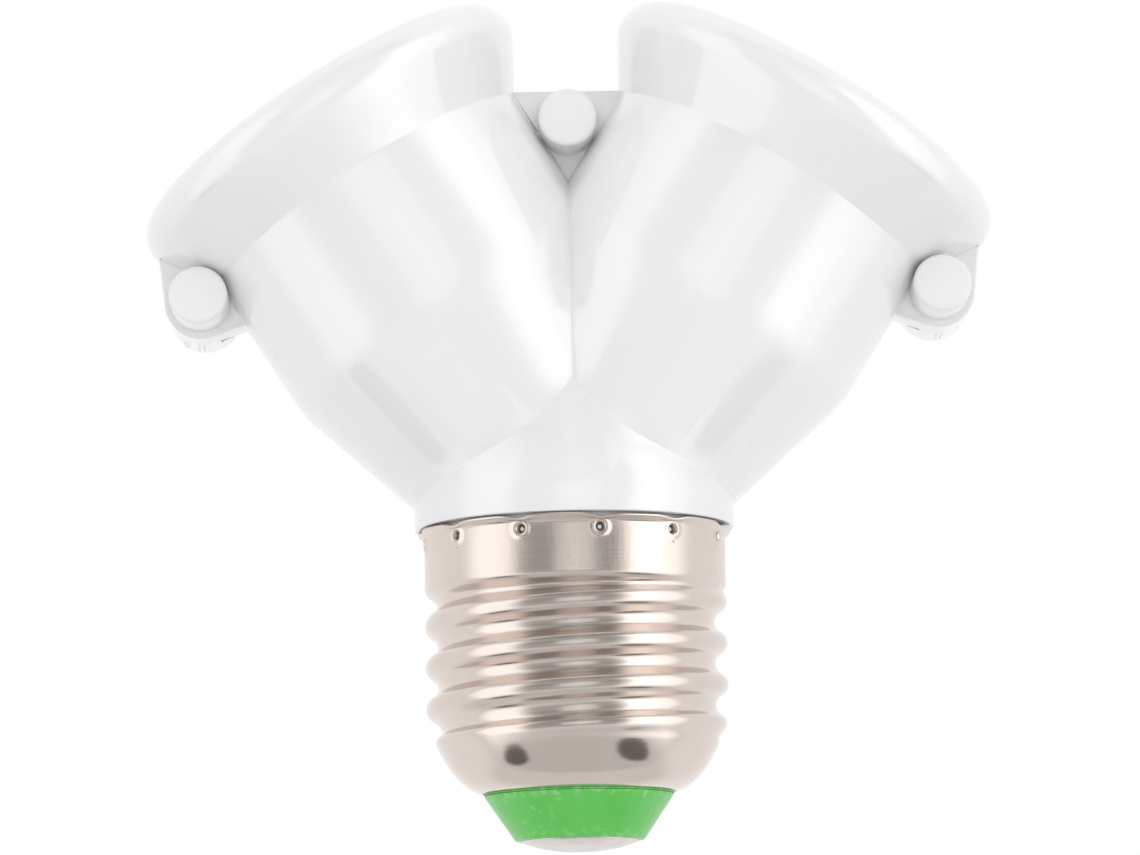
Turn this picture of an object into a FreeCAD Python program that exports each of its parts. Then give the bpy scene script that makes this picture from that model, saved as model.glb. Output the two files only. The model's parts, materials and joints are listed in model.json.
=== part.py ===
import FreeCAD, Part
import math
import os
from FreeCAD import Vector

# Lamp socket splitter: one screw cap below, two lamp sockets in a Y-shaped moulded body above.
# Millimetres. The origin is on the cap's axis, in the middle of its plain collar, and +Z points
# from the cap to the sockets. The sockets tilt in the XZ plane, and the body parts at Y = 0.
# Sizes along the cap are heights above the origin. Sizes of a socket are radii about its own axis
# and distances along it, counted from the point where the two socket axes cross the cap's axis.

# Screw cap
collar_radius = 13.15
collar_length = 2.8
cap_sheet = 0.3
thread_pitch = 3.629
thread_over_collar = 0.05
thread_depth = 1.1
thread_turns = 4
thread_crest_flat = 0.9
first_groove_drop = 1.0
thread_runout = 0.4
crimp_band_height = 1.1
crimp_band_swell = 0.08
rim_flare = 0.5
rim_height = 3.6
rim_edge = 0.2
shoulder_inset = 0.9
shoulder_edge_radius = 8.5
shoulder_height = 4.0
shoulder_knee_radius = 10.6
shoulder_knee_drop = 2.5

# Insulating ring and centre contact at the cap's lower end
insulator_top_radius = 8.3
insulator_foot_radius = 5.6
insulator_height = 4.0
insulator_flange_height = 2.8
insulator_flange_overlap = 0.7
contact_radius = 5.15
contact_dome = 1.0
contact_crown_radius = 2.0
contact_edge_radius = 4.5
contact_edge_height = 0.5
contact_floor = 0.8
shank_radius = 2.2
shank_bore_radius = 1.7
shank_stand = 1.0

# Moulded body: neck
neck_overhang = 0.85
neck_height = 3.5
neck_cone_angle = 20.2
neck_cone_height = 13.0
neck_bore_height = 10.5
spigot_length = 4.8
spigot_wall = 1.8
inner_spigot_length = 6.8
inner_spigot_wall = 1.5

# Moulded body: one socket, about its own axis
socket_tilt = 32.14
socket_cross_height = 5.57
funnel_depth = 3.45
break_below_seat = 3.0
socket_foot_distance = 2.2
lower_cone_angle = 15.9
break_round = 9.0
flange_angle = 32.6
flange_overhang = 3.41
rim_round = 2.47
funnel_flare = 2.2
throat_length = 0.5
body_wall = 1.6

# Webs and screw bosses that join the two halves of the body
web_thickness = 3.6
side_boss_stand = 2.17
side_boss_drop = 8.905
centre_boss_rise = 4.71
centre_web_rise = 7.89
web_lug_radius = 3.2
web_outer_lean = 6.5
web_top_rise = 6.6
web_reach = 7.5
web_under_angle = 20.0
web_root_depth = 11.0
web_root_rise = 3.0
centre_web_half_width = 7.0
centre_web_depth = 12.0
front_boss_radius = 2.55
boss_stand = 4.25
boss_edge_chamfer = 0.25
rear_boss_radius = 3.2

# Screws that hold the halves together
screw_core_radius = 1.12
pilot_clearance = 0.03
screw_clearance_radius = 1.5
screw_head_radius = 2.2
screw_head_height = 1.5
screw_head_depth = 0.6
screw_point_length = 1.2
screw_tip_radius = 0.4
screw_end_gap = 0.3
screw_recess_width = 0.6
screw_recess_span = 2.6
screw_recess_depth = 0.9
pilot_roof = 1.2

# Threaded sleeve of a socket
sleeve_sheet = 0.3
sleeve_lip_radius = 13.4
sleeve_lip_length = 2.2
sleeve_length = 13.2
sleeve_crest_radius = 12.4
sleeve_turns = 2
sleeve_floor_hole_radius = 11.2
sleeve_clearance = 0.15
sleeve_tab_width = 3.0
sleeve_tab_length = 6.2
sleeve_tab_inset = 1.1

# Insulating cup under a sleeve, which carries the contact leaf
cup_seat_distance = 23.2
cup_flange_thickness = 1.4
cup_wall = 1.2
cup_floor_radius = 7.6
cup_step_rise = 4.0
cup_centre_gap = 0.7
cup_ledge_width = 0.9

# Spring leaf that touches the lamp's own centre contact
leaf_thickness = 0.35
leaf_width = 5.0
leaf_foot_end = 5.0
leaf_bend_distance = 4.0
leaf_bend_radius = 1.2
leaf_rise_angle = 24.0
leaf_rise_length = 4.6
leaf_crown_radius = 1.5
leaf_tip_angle = 35.0
leaf_tip_length = 1.2
leaf_rivet_position = 3.2
leaf_rivet_radius = 0.9
leaf_rivet_head_radius = 1.6
leaf_rivet_head_height = 0.6
leaf_rivet_crown_radius = 1.1
leaf_rivet_tail_radius = 1.4
leaf_rivet_tail_height = 0.5
hole_clearance = 0.05

# Leads, ferrule and solder
lead_radius = 0.75
strand_radius = 0.4
lead_bend_radius = 1.8
strand_sink = 0.1
strip_length = 3.0
ferrule_clearance = 0.05
ferrule_length = 7.5
ferrule_stand = 1.3
lead_pair_offset = 0.82
lead_wall_gap = 0.15
lead_drop = 2.4
live_route_share = 0.5
live_route_rise = 0.4
live_route_stand = 3.9
tab_route_drop = 1.2
neck_route_distance = 4.8
foot_route_drop = 2.2
wall_route_gap = 1.7
ring_terminal_thickness = 0.5
terminal_ring_radius = 1.8
terminal_bar_width = 1.2
terminal_bar_length = 1.7
solder_radius = 0.9
solder_length = 1.4
solder_gap = 0.3

# Sizes that follow along the cap
thread_top = -collar_length / 2
thread_bottom = thread_top - thread_turns * thread_pitch + thread_runout
shoulder_foot = thread_bottom - shoulder_height
insulator_foot = shoulder_foot - insulator_height
insulator_top = shoulder_foot + insulator_flange_height
shank_top = insulator_top + shank_stand
ferrule_top = shank_top + ferrule_stand
cap_bore_radius = collar_radius - cap_sheet
thread_crest_radius = collar_radius + thread_over_collar
thread_root_radius = thread_crest_radius - thread_depth
cap_wall_inside = thread_root_radius - cap_sheet
shoulder_top_radius = thread_crest_radius - shoulder_inset

# Sizes that follow in the neck
neck_radius = collar_radius + neck_overhang
neck_top = rim_height + neck_height
spigot_radius = cap_bore_radius - hole_clearance
inner_spigot_radius = cap_wall_inside - 2 * hole_clearance
neck_bore_radius = spigot_radius - spigot_wall
inner_spigot_bore = inner_spigot_radius - inner_spigot_wall
inner_spigot_foot = rim_height - spigot_length - inner_spigot_length

# Sizes that follow about a socket's axis
sine, cosine = math.sin(math.radians(socket_tilt)), math.cos(math.radians(socket_tilt))
sleeve_foot = cup_seat_distance + cup_flange_thickness
sleeve_top = sleeve_foot + sleeve_length
throat_radius = sleeve_lip_radius + hole_clearance
throat_foot = sleeve_top + hole_clearance
mouth_distance = throat_foot + throat_length + funnel_depth
bore_radius = sleeve_lip_radius + sleeve_sheet + sleeve_clearance
barrel_radius = bore_radius + body_wall
flange_radius = barrel_radius + flange_overhang
funnel_mouth_radius = sleeve_lip_radius + funnel_flare
break_distance = cup_seat_distance - break_below_seat
cup_foot = (cup_floor_radius * cosine + cup_centre_gap) / sine
cup_step_distance = cup_foot + cup_step_rise
cup_step_radius = (cup_step_distance * sine - cup_centre_gap) / cosine
floor_top = cup_foot + cup_wall
terminal_foot = cup_foot - ring_terminal_thickness
sleeve_tab_radius = sleeve_lip_radius - sleeve_tab_inset
tab_end = sleeve_foot - sleeve_tab_length
tab_strand_radius = sleeve_tab_radius - strand_radius - hole_clearance
terminal_bar_end = leaf_rivet_head_radius + terminal_bar_length
lead_level = terminal_foot - strand_radius + strand_sink

# Places of the screw bosses, two beside the barrels and one where the barrels meet
side_boss_u = barrel_radius + side_boss_stand
side_boss_t = mouth_distance - side_boss_drop
side_boss_x = side_boss_t * sine + side_boss_u * cosine
side_boss_z = socket_cross_height + side_boss_t * cosine - side_boss_u * sine
barrels_meet = socket_cross_height + barrel_radius / sine
centre_boss_z = barrels_meet + centre_boss_rise
centre_web_top = barrels_meet + centre_web_rise
boss_places = [(side_boss_x, side_boss_z), (-side_boss_x, side_boss_z), (0, centre_boss_z)]
boss_reach = web_thickness / 2 + boss_stand
head_seat = boss_reach - screw_head_depth - screw_head_height


def revolve_profile(points):
    """A solid turned about Z from a closed outline of (radius, height) corners."""
    corners = [Vector(r, 0, z) for r, z in points]
    wire = Part.makePolygon(corners + corners[:1])
    return Part.Face(wire).revolve(Vector(0, 0, 0), Vector(0, 0, 1), 360)


def revolve_edges(edges):
    """A solid turned about Z from a closed loop of edges in the XZ plane."""
    return Part.Face(Part.Wire(edges)).revolve(Vector(0, 0, 0), Vector(0, 0, 1), 360)


def line(a, b):
    """An edge between two (radius, height) points."""
    return Part.LineSegment(Vector(a[0], 0, a[1]), Vector(b[0], 0, b[1])).toShape()


def arc(a, middle, b):
    """A round edge through three (radius, height) points."""
    points = [Vector(p[0], 0, p[1]) for p in (a, middle, b)]
    return Part.Arc(*points).toShape()


def rounded_corner(before, corner, after, radius):
    """The start, middle and end of the arc that rounds a corner of a profile."""
    before, corner, after = (Vector(p[0], 0, p[1]) for p in (before, corner, after))
    into = (corner - before).normalize()
    out = (after - corner).normalize()
    turn = into.getAngle(out)
    cut = radius * math.tan(turn / 2)
    reach = radius / math.cos(turn / 2) - radius
    middle = corner + (out - into).normalize() * reach
    return [(p.x, p.z) for p in (corner - into * cut, middle, corner + out * cut)]


def on_socket(shape, side):
    """Places a shape modelled about Z on the right (+1) or left (-1) socket's axis."""
    place = FreeCAD.Placement(
        Vector(0, 0, socket_cross_height), FreeCAD.Rotation(Vector(0, 1, 0), socket_tilt)
    )
    if side < 0:
        place = FreeCAD.Placement(Vector(), FreeCAD.Rotation(Vector(0, 0, 1), 180)).multiply(place)
    return shape.transformed(place.toMatrix(), True)


def socket_point(side, outward, across, along):
    """A point given about a socket's axis, in the part's own frame."""
    x = along * sine + outward * cosine
    z = socket_cross_height + along * cosine - outward * sine
    return Vector(side * x, side * across, z)


def socket_outside():
    """A rounded flange on a plain barrel, over a cone that runs down into the neck."""
    cone_drop = break_distance - socket_foot_distance
    foot_radius = barrel_radius - cone_drop * math.tan(math.radians(lower_cone_angle))
    flange = math.radians(flange_angle)
    round_centre = (flange_radius - rim_round, mouth_distance - rim_round)
    tangent = (
        round_centre[0] + rim_round * math.cos(flange),
        round_centre[1] - rim_round * math.sin(flange),
    )
    shoulder_z = tangent[1] - (tangent[0] - barrel_radius) / math.tan(flange)
    middle_angle = (math.pi / 2 - flange) / 2
    over = (
        round_centre[0] + rim_round * math.cos(middle_angle),
        round_centre[1] + rim_round * math.sin(middle_angle),
    )
    foot, knee = (foot_radius, socket_foot_distance), (barrel_radius, break_distance)
    shoulder = (barrel_radius, shoulder_z)
    knee_arc = rounded_corner(foot, knee, shoulder, break_round)
    face = (round_centre[0], mouth_distance)
    edges = [
        line((0, foot[1]), foot),
        line(foot, knee_arc[0]),
        arc(*knee_arc),
        line(knee_arc[2], shoulder),
        line(shoulder, tangent),
        arc(tangent, over, face),
        line(face, (0, mouth_distance)),
        line((0, mouth_distance), (0, foot[1])),
    ]
    return revolve_edges(edges)


def hollow_radius(distance):
    """Radius of the cone-shaped hollow under a socket's ledge, for a wall of even thickness."""
    cone = math.radians(lower_cone_angle)
    return barrel_radius - body_wall / math.cos(cone) - (break_distance - distance) * math.tan(cone)


def socket_inside():
    """The hollow of a socket: funnel, throat, sleeve bore, ledge for the cup and the cone below."""
    ledge_radius = bore_radius - cup_ledge_width
    cone = math.tan(math.radians(lower_cone_angle))
    ledge_foot = break_distance + (ledge_radius - hollow_radius(break_distance)) / cone
    outline = [
        (0, socket_foot_distance),
        (hollow_radius(socket_foot_distance), socket_foot_distance),
        (ledge_radius, ledge_foot),
        (ledge_radius, cup_seat_distance),
        (bore_radius, cup_seat_distance),
        (bore_radius, throat_foot),
        (throat_radius, throat_foot),
        (throat_radius, throat_foot + throat_length),
        (funnel_mouth_radius, mouth_distance),
        (0, mouth_distance),
    ]
    return revolve_profile(outline)


def neck_outside():
    """Plain neck and cone, with a stepped spigot below that fills the cap."""
    cone_top = neck_radius - neck_cone_height * math.tan(math.radians(neck_cone_angle))
    spigot_foot = rim_height - spigot_length
    outline = [
        (0, inner_spigot_foot),
        (inner_spigot_radius, inner_spigot_foot),
        (inner_spigot_radius, spigot_foot),
        (spigot_radius, spigot_foot),
        (spigot_radius, rim_height),
        (neck_radius, rim_height),
        (neck_radius, neck_top),
        (cone_top, neck_top + neck_cone_height),
        (0, neck_top + neck_cone_height),
    ]
    return revolve_profile(outline)


def neck_inside():
    """The bore that the leads run down, wider in the neck than in the inner spigot."""
    spigot_foot = rim_height - spigot_length
    outline = [
        (0, inner_spigot_foot),
        (inner_spigot_bore, inner_spigot_foot),
        (inner_spigot_bore, spigot_foot),
        (neck_bore_radius, rim_height),
        (neck_bore_radius, neck_bore_height),
        (0, neck_bore_height),
    ]
    return revolve_profile(outline)


def plate(points, thickness):
    """A flat web of an outline of (x, z) corners, centred on the parting plane."""
    wire = Part.makePolygon([Vector(x, -thickness / 2, z) for x, z in points + points[:1]])
    return Part.Face(wire).extrude(Vector(0, thickness, 0))


def boss_cylinder(x, z, radius, y_from, y_to):
    """A cylinder along Y, such as a boss, a screw shank or a hole."""
    return Part.makeCylinder(radius, y_to - y_from, Vector(x, y_from, z), Vector(0, 1, 0))


def edges_at_y(shape, y):
    """The round edges of a shape that lie in the plane at a given y."""
    rounds = [e for e in shape.Edges if e.Closed]
    return [e for e in rounds if abs(e.BoundBox.YMin - y) + abs(e.BoundBox.YMax - y) < 1e-6]


def side_web(side):
    """The web that carries a side boss, with a rounded lug about the boss."""
    lean = math.radians(web_outer_lean)
    under = math.radians(web_under_angle)
    centre = (side_boss_x, side_boss_z)
    outer = (centre[0] + web_lug_radius * math.cos(lean), centre[1] - web_lug_radius * math.sin(lean))
    outer_top = (outer[0] + web_top_rise * math.tan(lean), outer[1] + web_top_rise)
    inner_top = (outer_top[0] - web_root_depth, outer_top[1] + web_root_rise)
    lower = (centre[0] - web_lug_radius * math.sin(under), centre[1] - web_lug_radius * math.cos(under))
    barrel = (lower[0] - web_reach, lower[1] + web_reach * math.tan(under))
    points = [outer, outer_top, inner_top, barrel, lower]
    web = plate([(side * x, z) for x, z in points], web_thickness)
    half = web_thickness / 2
    lug = boss_cylinder(side * centre[0], centre[1], web_lug_radius, -half, half)
    return web.fuse(lug)


def centre_web():
    """The web between the two sockets, which carries the upper boss."""
    top = centre_web_top
    points = [(-centre_web_half_width, top), (centre_web_half_width, top), (0, top - centre_web_depth)]
    return plate(points, web_thickness)


def make_body():
    """The whole moulded body, still in one piece: neck, two sockets, webs and bosses, hollowed out."""
    outside = neck_outside()
    for side in (1, -1):
        outside = outside.fuse(on_socket(socket_outside(), side))
        outside = outside.fuse(side_web(side))
    outside = outside.fuse(centre_web())
    for side in (1, -1):
        outside = outside.cut(on_socket(socket_inside(), side))
    outside = outside.cut(neck_inside())
    for x, z in boss_places:
        front = boss_cylinder(x, z, front_boss_radius, -boss_reach, 0)
        front = front.makeChamfer(boss_edge_chamfer, edges_at_y(front, -boss_reach))
        rear = boss_cylinder(x, z, rear_boss_radius, 0, boss_reach)
        rear = rear.makeChamfer(boss_edge_chamfer, edges_at_y(rear, boss_reach))
        outside = outside.fuse([front, rear])
    for side in (1, -1):
        outside = outside.cut(on_socket(socket_inside(), side))
    return outside


def half_space(sign):
    """Everything in front of (-1) or behind (+1) the parting plane."""
    size = 4 * mouth_distance
    low_y = 0 if sign > 0 else -size
    return Part.makeBox(2 * size, size, 2 * size, Vector(-size, low_y, -size))


def make_shells():
    """The body's front and rear halves, with blind pilot holes in front and screw seats behind."""
    body = make_body()
    front = body.common(half_space(-1))
    rear = body.common(half_space(1))
    pilot = screw_core_radius + pilot_clearance
    head_bore = screw_head_radius + 2 * hole_clearance
    for x, z in boss_places:
        front = front.cut(boss_cylinder(x, z, pilot, -boss_reach + pilot_roof, 1))
        rear = rear.cut(boss_cylinder(x, z, screw_clearance_radius, -1, boss_reach + 1))
        rear = rear.cut(boss_cylinder(x, z, head_bore, head_seat, boss_reach + 1))
    return front, rear


def make_screws():
    """Three separate self-tapping screws, their heads sunk in the rear bosses."""
    head_top = head_seat + screw_head_height
    point_start = -boss_reach + pilot_roof + screw_end_gap + screw_point_length
    screws = []
    for x, z in boss_places:
        shank = boss_cylinder(x, z, screw_core_radius, point_start, head_seat)
        point = Part.makeCone(
            screw_core_radius, screw_tip_radius, screw_point_length,
            Vector(x, point_start, z), Vector(0, -1, 0),
        )
        head = boss_cylinder(x, z, screw_head_radius, head_seat, head_top)
        screw = shank.fuse([point, head])
        for w, h in ((screw_recess_width, screw_recess_span), (screw_recess_span, screw_recess_width)):
            corner = Vector(x - w / 2, head_top - screw_recess_depth, z - h / 2)
            screw = screw.cut(Part.makeBox(w, screw_recess_depth + 1, h, corner))
        screws.append(screw.removeSplitter())
    return Part.makeCompound(screws)


def knuckle_profile(crest, root, groove, pitch, turns, flat):
    """(radius, height) corners of ring grooves, from the lowest groove upwards, with flat-topped crests."""
    corners = [(root, groove)]
    for i in range(1, turns):
        middle = groove + (i - 0.5) * pitch
        corners.append((crest, middle - flat / 2))
        corners.append((crest, middle + flat / 2))
        corners.append((root, groove + i * pitch))
    return corners


def make_screw_cap():
    """Drawn sheet cap: flared rim, crimp band, plain collar, rolled knuckles and closing shoulder."""
    lowest_groove = thread_top - first_groove_drop - (thread_turns - 1) * thread_pitch
    wave = knuckle_profile(
        thread_crest_radius, thread_root_radius, lowest_groove, thread_pitch, thread_turns, thread_crest_flat
    )
    collar_top = collar_length / 2
    band_top = collar_top + crimp_band_height
    band_radius = collar_radius + crimp_band_swell
    flare = collar_radius + rim_flare
    slope = cap_sheet / math.sqrt(2)
    knee = (shoulder_knee_radius, thread_bottom - shoulder_knee_drop)
    outside = [
        (shoulder_edge_radius, shoulder_foot),
        knee,
        (shoulder_top_radius, thread_bottom),
    ] + wave + [
        (collar_radius, thread_top),
        (collar_radius, collar_top),
        (band_radius, band_top),
        (flare, rim_height - rim_edge),
        (flare, rim_height),
    ]
    inside = [
        (flare - cap_sheet, rim_height),
        (band_radius - cap_sheet, band_top),
        (cap_bore_radius, collar_top),
        (cap_bore_radius, thread_top),
        (thread_root_radius - cap_sheet, thread_top),
        (thread_root_radius - cap_sheet, thread_bottom),
        (knee[0] - slope, knee[1] + slope),
        (shoulder_edge_radius - slope, shoulder_foot + slope),
    ]
    return revolve_profile(outside + inside)


def make_insulator():
    """Coloured ring that closes the cap, gripped by the cap's edge in a groove."""
    grip_radius = shoulder_edge_radius - cap_sheet / math.sqrt(2) - hole_clearance
    flange_radius_inside = shoulder_edge_radius + insulator_flange_overlap
    outline = [
        (shank_radius + hole_clearance, insulator_foot),
        (insulator_foot_radius, insulator_foot),
        (insulator_top_radius, shoulder_foot - hole_clearance),
        (grip_radius, shoulder_foot - hole_clearance),
        (grip_radius, shoulder_foot + cap_sheet),
        (flange_radius_inside, shoulder_foot + insulator_flange_overlap + cap_sheet),
        (flange_radius_inside, insulator_top),
        (shank_radius + hole_clearance, insulator_top),
    ]
    return revolve_profile(outline)


def make_centre_contact():
    """Domed contact with a hollow shank that is pressed up through the insulator."""
    tip = insulator_foot - contact_dome
    outline = [
        (0, tip),
        (contact_crown_radius, tip),
        (contact_edge_radius, insulator_foot - contact_edge_height),
        (contact_radius, insulator_foot),
        (shank_radius, insulator_foot),
        (shank_radius, shank_top),
        (shank_bore_radius, shank_top),
        (shank_bore_radius, insulator_foot + contact_floor),
        (0, insulator_foot + contact_floor),
    ]
    return revolve_profile(outline)


def make_ferrule():
    """Crimped tube in the contact's shank, with a hole for each live lead's strands."""
    radius = shank_bore_radius - ferrule_clearance
    ferrule = Part.makeCylinder(radius, ferrule_length, Vector(0, 0, ferrule_top - ferrule_length))
    for side in (1, -1):
        foot = Vector(side * lead_pair_offset, 0, ferrule_top - strip_length - hole_clearance)
        hole = Part.makeCylinder(strand_radius + hole_clearance, strip_length + 1, foot)
        ferrule = ferrule.cut(hole)
    return ferrule


# One socket's inner pieces are modelled about Z, at their distance along the socket's axis
def make_sleeve():
    """Pressed sleeve with a plain lead-in lip, knuckle thread, open floor and a solder tab."""
    lip_foot = sleeve_top - sleeve_lip_length
    wall_radius = sleeve_lip_radius + sleeve_sheet
    lowest_crest = lip_foot - (sleeve_turns - 0.5) * thread_pitch
    wave = knuckle_profile(
        sleeve_lip_radius, sleeve_crest_radius, lowest_crest, thread_pitch, sleeve_turns, thread_crest_flat
    )
    outline = [
        (sleeve_floor_hole_radius, sleeve_foot),
        (sleeve_floor_hole_radius, sleeve_foot + sleeve_sheet),
        (sleeve_lip_radius, sleeve_foot + sleeve_sheet),
        (sleeve_lip_radius, lowest_crest - thread_pitch / 2),
    ] + wave + [
        (sleeve_lip_radius, lip_foot),
        (sleeve_lip_radius, sleeve_top),
        (wall_radius, sleeve_top),
        (wall_radius, sleeve_foot),
    ]
    sleeve = revolve_profile(outline)
    tab = Part.makeBox(
        sleeve_sheet, sleeve_tab_width, sleeve_tab_length + sleeve_sheet / 2,
        Vector(sleeve_tab_radius, -sleeve_tab_width / 2, sleeve_foot - sleeve_tab_length),
    )
    return sleeve.fuse(tab).removeSplitter()


def make_cup():
    """Moulded insulating cup in two steps, its flange clamped between the body's ledge and the sleeve."""
    flange = sleeve_lip_radius + sleeve_sheet
    inner_step = cup_step_radius - cup_wall
    step_floor = cup_step_distance + cup_wall
    outline = [
        (0, cup_foot),
        (cup_floor_radius, cup_foot),
        (cup_floor_radius, cup_step_distance),
        (cup_step_radius, cup_step_distance),
        (cup_step_radius, cup_seat_distance),
        (flange, cup_seat_distance),
        (flange, sleeve_foot),
        (inner_step, sleeve_foot),
        (inner_step, step_floor),
        (cup_floor_radius - cup_wall, step_floor),
        (cup_floor_radius - cup_wall, floor_top),
        (0, floor_top),
    ]
    cup = revolve_profile(outline)
    slot_width = sleeve_tab_width + 4 * hole_clearance
    slot_foot = cup_seat_distance - cup_flange_thickness / 2
    slot = Part.makeBox(
        sleeve_sheet + 4 * hole_clearance, slot_width, 2 * cup_flange_thickness,
        Vector(sleeve_tab_radius - 2 * hole_clearance, -slot_width / 2, slot_foot),
    )
    hole_foot = Vector(leaf_rivet_position, 0, cup_foot - cup_wall / 2)
    hole = Part.makeCylinder(leaf_rivet_radius + hole_clearance, 2 * cup_wall, hole_foot)
    return cup.cut(slot).cut(hole)


def leaf_face(corners):
    """A side face of the leaf, from corners given above the cup's floor."""
    points = [Vector(x, -leaf_width / 2, floor_top + h) for x, h in corners]
    return Part.Face(Part.makePolygon(points + points[:1]))


def leaf_bend(centre, start_degrees, end_degrees):
    """A piece of the leaf bent about a line across it, between two angles in the XZ plane."""
    half = leaf_thickness / 2
    radius = centre[2]
    rim = []
    for r in (radius - half, radius + half):
        points = []
        for f in (0, 0.5, 1):
            a = math.radians(start_degrees + (end_degrees - start_degrees) * f)
            points.append(Vector(
                centre[0] + r * math.cos(a), -leaf_width / 2, floor_top + centre[1] + r * math.sin(a)
            ))
        rim.append(points)
    edges = [
        Part.Arc(*rim[0]).toShape(),
        Part.LineSegment(rim[0][2], rim[1][2]).toShape(),
        Part.Arc(*rim[1][::-1]).toShape(),
        Part.LineSegment(rim[1][0], rim[0][0]).toShape(),
    ]
    return Part.Face(Part.Wire(edges)).extrude(Vector(0, leaf_width, 0))


def leaf_strip(start, angle_degrees, length):
    """A flat stretch of the leaf from a point of its middle line."""
    a = math.radians(angle_degrees)
    half = leaf_thickness / 2
    normal = (-math.sin(a) * half, math.cos(a) * half)
    end = (start[0] + math.cos(a) * length, start[1] + math.sin(a) * length)
    corners = [
        (start[0] - normal[0], start[1] - normal[1]),
        (end[0] - normal[0], end[1] - normal[1]),
        (end[0] + normal[0], end[1] + normal[1]),
        (start[0] + normal[0], start[1] + normal[1]),
    ]
    return leaf_face(corners).extrude(Vector(0, leaf_width, 0)), end


def make_leaf():
    """Bent spring strip: a riveted foot, a return bend, a rising tongue and a rounded crown."""
    half = leaf_thickness / 2
    foot, _ = leaf_strip((-leaf_bend_distance, half), 0, leaf_foot_end + leaf_bend_distance)
    bend_centre = (-leaf_bend_distance, half + leaf_bend_radius, leaf_bend_radius)
    bend = leaf_bend(bend_centre, -90, -270 + leaf_rise_angle)
    rise = math.radians(leaf_rise_angle)
    rise_start = (
        bend_centre[0] - leaf_bend_radius * math.sin(rise),
        bend_centre[1] + leaf_bend_radius * math.cos(rise),
    )
    tongue, rise_end = leaf_strip(rise_start, leaf_rise_angle, leaf_rise_length)
    crown_centre = (
        rise_end[0] + leaf_crown_radius * math.sin(rise),
        rise_end[1] - leaf_crown_radius * math.cos(rise),
        leaf_crown_radius,
    )
    crown = leaf_bend(crown_centre, 90 + leaf_rise_angle, 90 - leaf_tip_angle)
    fall = math.radians(leaf_tip_angle)
    tip_start = (
        crown_centre[0] + leaf_crown_radius * math.sin(fall),
        crown_centre[1] + leaf_crown_radius * math.cos(fall),
    )
    tip, _ = leaf_strip(tip_start, -leaf_tip_angle, leaf_tip_length)
    leaf = foot.fuse([bend, tongue, crown, tip]).removeSplitter()
    hole = Part.makeCylinder(
        leaf_rivet_radius + hole_clearance, 2 * leaf_thickness,
        Vector(leaf_rivet_position, 0, floor_top - leaf_thickness / 2),
    )
    return leaf.cut(hole)


def make_leaf_rivet():
    """Rivet through the leaf's foot, the cup's floor and the live lead's ring."""
    head_foot = floor_top + leaf_thickness
    head_top = head_foot + leaf_rivet_head_height
    tail_top = terminal_foot
    tail_foot = terminal_foot - leaf_rivet_tail_height
    outline = [
        (0, tail_foot),
        (leaf_rivet_tail_radius, tail_foot),
        (leaf_rivet_tail_radius, tail_top),
        (leaf_rivet_radius, tail_top),
        (leaf_rivet_radius, head_foot),
        (leaf_rivet_head_radius, head_foot),
        (leaf_rivet_crown_radius, head_top),
        (0, head_top),
    ]
    rivet = revolve_profile(outline)
    rivet.translate(Vector(leaf_rivet_position, 0, 0))
    return rivet


def tube(points, radius):
    """A round lead along straight runs joined by tangent arcs; prints its length."""
    pieces, length = [], 0.0
    at = points[0]
    for i in range(1, len(points) - 1):
        corner, following = points[i], points[i + 1]
        into = (corner - points[i - 1]).normalize()
        out = (following - corner).normalize()
        turn = into.getAngle(out)
        cut = lead_bend_radius * math.tan(turn / 2)
        start, end = corner - into * cut, corner + out * cut
        pieces.append(Part.makeCylinder(radius, (start - at).Length, at, into))
        axis = into.cross(out).normalize()
        centre = start + axis.cross(into).normalize() * lead_bend_radius
        disc = Part.Face(Part.Wire(Part.Circle(start, into, radius).toShape()))
        pieces.append(disc.revolve(centre, axis, math.degrees(turn)))
        length += (start - at).Length + lead_bend_radius * turn
        at = end
    last = points[-1]
    pieces.append(Part.makeCylinder(radius, (last - at).Length, at, last - at))
    length += (last - at).Length
    whole = pieces[0].fuse(pieces[1:]).removeSplitter()
    section = math.pi * radius * radius * length
    print("lead length", round(length, 2), "volume over section", round(whole.Volume / section, 4))
    return whole


def strand(point, toward, length):
    """Bare wire from a point, in a direction."""
    return Part.makeCylinder(strand_radius, length, point, toward)


def live_route(side):
    """Centre line of a live lead's insulation, from beside its ring down to the ferrule."""
    route = [
        socket_point(side, leaf_rivet_position, terminal_bar_end, lead_level),
        socket_point(side, leaf_rivet_position, terminal_bar_end + lead_drop, lead_level),
    ]
    inset = live_route_share * neck_bore_radius
    for x, y, z in (
        (inset, inset, rim_height + live_route_rise),
        (lead_pair_offset, 0, ferrule_top + live_route_stand),
        (lead_pair_offset, 0, ferrule_top),
    ):
        route.append(Vector(side * x, side * y, z))
    return route


def make_live_lead(side):
    """Insulated lead with a ring on the leaf's rivet and bare strands in the ferrule."""
    route = live_route(side)
    insulation = tube(route, lead_radius)
    ring = Part.makeCylinder(terminal_ring_radius, ring_terminal_thickness, Vector(0, 0, terminal_foot))
    bar = Part.makeBox(
        terminal_bar_width, terminal_bar_end, ring_terminal_thickness,
        Vector(-terminal_bar_width / 2, 0, terminal_foot),
    )
    hole_foot = Vector(0, 0, terminal_foot - ring_terminal_thickness)
    hole = Part.makeCylinder(leaf_rivet_radius + hole_clearance, 3 * ring_terminal_thickness, hole_foot)
    ring = ring.fuse(bar).cut(hole)
    ring.translate(Vector(leaf_rivet_position, 0, 0))
    ring = on_socket(ring, side)
    bare_start = strand(route[0], (route[0] - route[1]).normalize(), terminal_bar_length - hole_clearance)
    bare_end = strand(route[-1], Vector(0, 0, -1), strip_length)
    return insulation.fuse([ring, bare_start, bare_end]).removeSplitter()


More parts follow.
